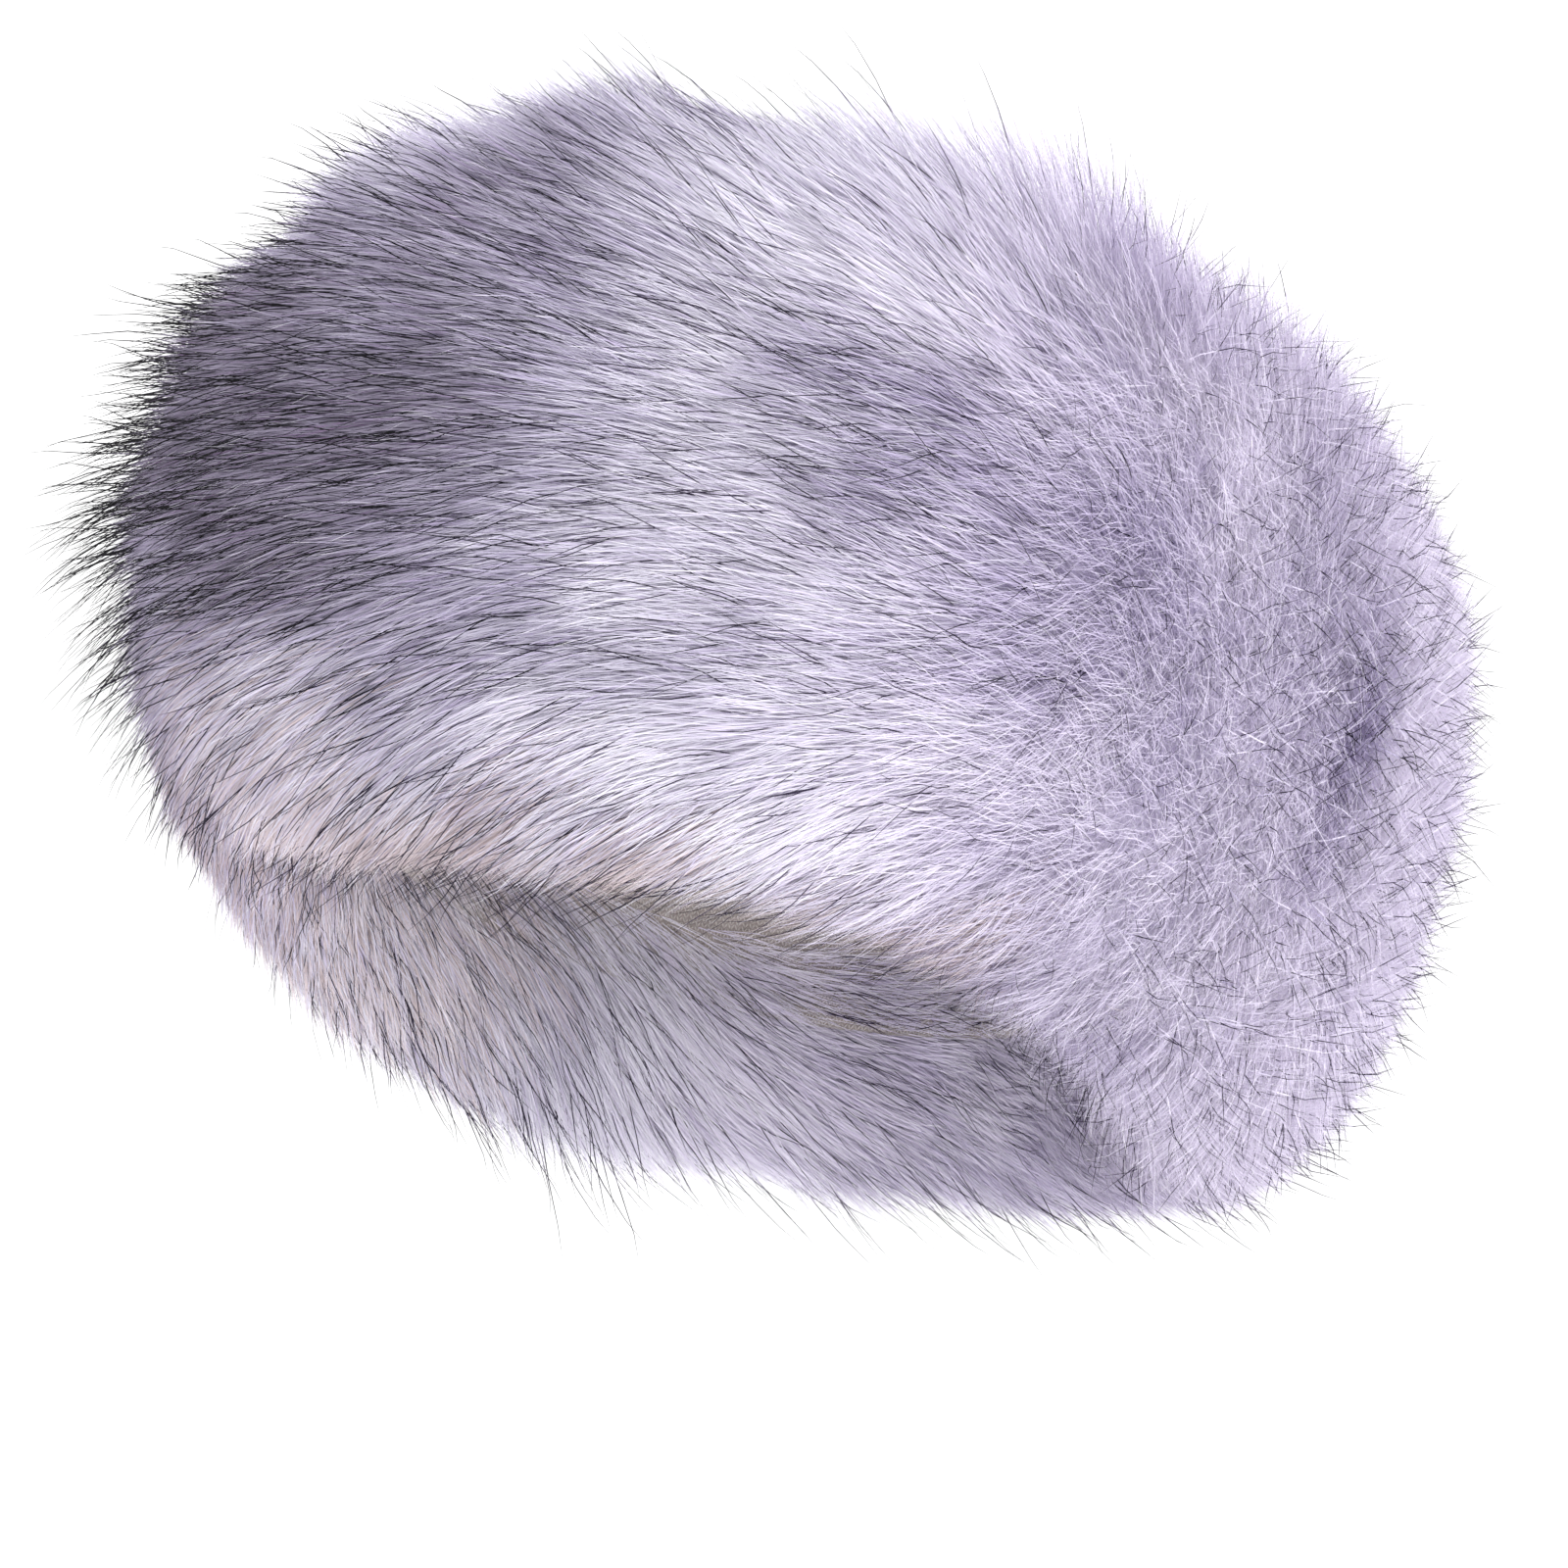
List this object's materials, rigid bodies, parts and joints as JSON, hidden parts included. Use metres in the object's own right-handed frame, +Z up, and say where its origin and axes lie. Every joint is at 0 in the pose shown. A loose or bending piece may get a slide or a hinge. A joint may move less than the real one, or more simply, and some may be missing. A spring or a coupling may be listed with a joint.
{
  "type": "ear warmer headband",
  "caption": "Wide soft headband of deep long-pile imitation fur, a closed loop that covers the forehead, ears and nape.",
  "frame": {"origin": "the middle of the head opening, halfway up the strip, where the loop grips the head", "axes": "+Z up as worn, -Y towards the wearer's face, +X towards the wearer's left ear"},
  "size_m": [0.2837, 0.3201, 0.2613],
  "materials": {
    "pile": "deep soft acrylic pile in lilac grey, with charcoal patches and dark-tipped guard hairs",
    "ground_cloth": "matt fine-ribbed knitted ground of the pile fabric, greyish beige"
  },
  "bodies": {
    "root": {"fur_pile": "pile", "base_cloth": "ground_cloth"}
  },
  "joints": []
}
